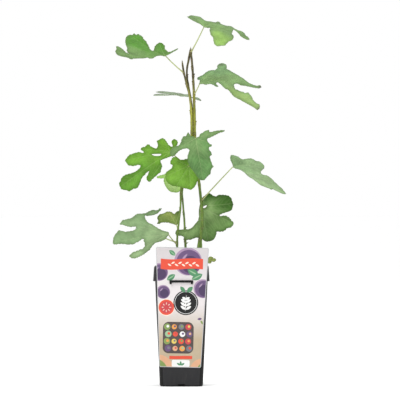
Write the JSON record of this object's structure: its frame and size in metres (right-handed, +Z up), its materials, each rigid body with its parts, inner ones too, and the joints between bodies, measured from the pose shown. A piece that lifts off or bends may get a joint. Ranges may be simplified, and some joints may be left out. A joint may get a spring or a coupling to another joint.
{
  "type": "fig tree in a pot",
  "caption": "Young fig tree with thin upright stems and spread, deeply lobed leaves, rooted in a tall square nursery pot that has a hanging label.",
  "frame": {"origin": "centre of the pot's flat underside, on the surface it stands on", "axes": "+Z up along the pot's height, +X to the right of the plant seen from its label, and the label faces -Y"},
  "size_m": [0.3498, 0.1985, 0.7523],
  "materials": {
    "pot": "satin black moulded polypropylene",
    "compost": "moist crumbly bark and peat compost",
    "label": "printed stiff plastic card with clear edges",
    "stem": "smooth young bark, olive green, with scars and pores",
    "petiole": "pale green leaf stalk",
    "leaf": "matt rough leaf blade with pale raised veins"
  },
  "bodies": {
    "root": {"pot": "pot", "root_ball": "compost", "label": "label", "stem_main": "stem", "stem_left": "stem", "stem_middle": "stem", "leaf_top_right": "leaf", "leaf_top_left": "leaf", "leaf_upper_right": "leaf", "leaf_upper_back": "leaf", "leaf_middle_left": "leaf", "leaf_middle_centre": "leaf", "leaf_middle_front": "leaf", "leaf_middle_back": "leaf", "leaf_middle_rear": "leaf", "leaf_right": "leaf", "leaf_lower_right": "leaf", "leaf_lower_left": "leaf", "leaf_lower_back": "leaf", "leaf_lower_rear": "leaf", "leaf_foot": "leaf", "petiole_top_right": "petiole", "petiole_top_left": "petiole", "petiole_upper_right": "petiole", "petiole_upper_back": "petiole", "petiole_middle_left": "petiole", "petiole_middle_centre": "petiole", "petiole_middle_front": "petiole", "petiole_middle_back": "petiole", "petiole_middle_rear": "petiole", "petiole_right": "petiole", "petiole_lower_right": "petiole", "petiole_lower_left": "petiole", "petiole_lower_back": "petiole", "petiole_lower_rear": "petiole", "petiole_foot": "petiole"}
  },
  "joints": []
}
